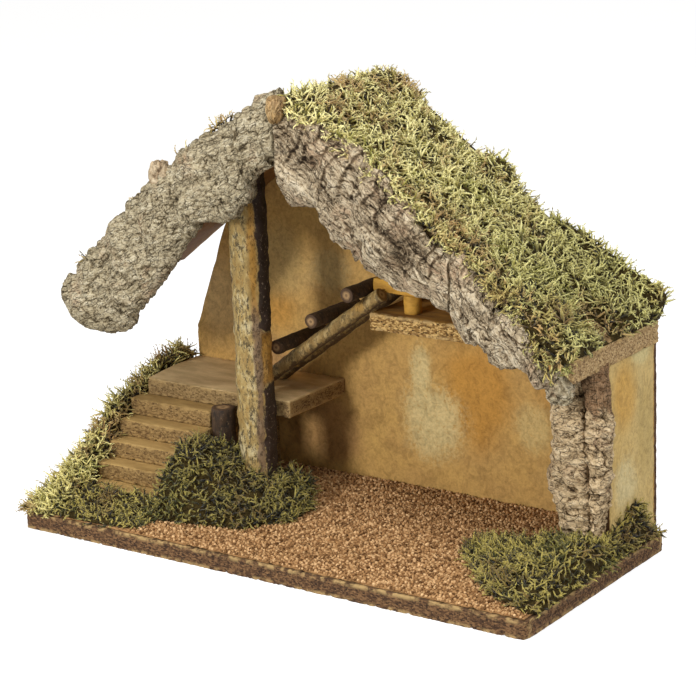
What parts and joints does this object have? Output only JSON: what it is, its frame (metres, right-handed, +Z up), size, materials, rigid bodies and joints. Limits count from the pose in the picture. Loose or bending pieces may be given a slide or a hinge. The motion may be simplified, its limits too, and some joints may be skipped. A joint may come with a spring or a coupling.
{
  "type": "nativity stable",
  "caption": "Free-standing wooden nativity stable: chipboard hut with cork bark fascias, mossy pitched roof, outside stair with landing, ladder and loft, open at the front for figures.",
  "frame": {"origin": "centre of the base board's underside, on the surface that the stable stands on", "axes": "+X to the right seen from the open front, +Y towards the back panel, +Z up"},
  "size_m": [0.425, 0.188, 0.3248],
  "materials": {
    "painted_base_board": "chipboard with brown painted, flaking edges",
    "chipboard": "raw chipboard edges, faces brushed brown",
    "painted_panel": "hardboard sponged in ochre, cream and brown paint",
    "painted_wall": "chipboard with smooth ochre and cream paint",
    "cork_bark": "weathered grey cork bark, cracked and matt",
    "tan_cork": "fresh broken cork, matt",
    "cork_granules": "loose cork granules, matt",
    "post_log": "peeled log, brushed ochre with dark bark left on",
    "ladder_log": "thin branch with dark bark, brushed ochre",
    "dark_log": "branch with dark bark, satin",
    "yellow_paint": "wood painted matt yellow ochre",
    "moss": "dried moss strands",
    "steel": "plain wire nail"
  },
  "bodies": {
    "root": {"base_board": "painted_base_board", "granule_floor": "cork_granules", "back_panel": "painted_panel", "right_wall": "painted_wall", "roof_board_right": "chipboard", "roof_sheet_left": "painted_panel", "bark_fascia_left": "cork_bark", "bark_fascia_right_upper": "cork_bark", "bark_fascia_right_lower": "cork_bark", "bark_chip_left": "tan_cork", "bark_chip_apex": "tan_cork", "bark_knob": "cork_bark", "bark_post_inner": "cork_bark", "bark_post_outer": "cork_bark", "landing_board": "chipboard", "landing_prop": "dark_log", "front_post": "post_log", "ladder_rail_front": "ladder_log", "ladder_rail_back": "ladder_log", "ladder_rung_1": "dark_log", "ladder_rung_2": "dark_log", "ladder_rung_3": "dark_log", "loft_shelf": "chipboard", "loft_handrail": "yellow_paint", "loft_balusters": "yellow_paint", "moss_roof_right": "moss", "moss_roof_left": "moss", "moss_stair_bank": "moss", "moss_stair_toe": "moss", "moss_post_heap": "moss", "moss_corner": "moss", "moss_wall_foot": "moss", "back_panel_brads": "steel", "roof_brads": "steel", "base_nails": "steel", "stair_board_1": "chipboard", "stair_board_2": "chipboard", "stair_board_3": "chipboard", "stair_board_4": "chipboard", "stair_board_5": "chipboard"}
  },
  "joints": []
}
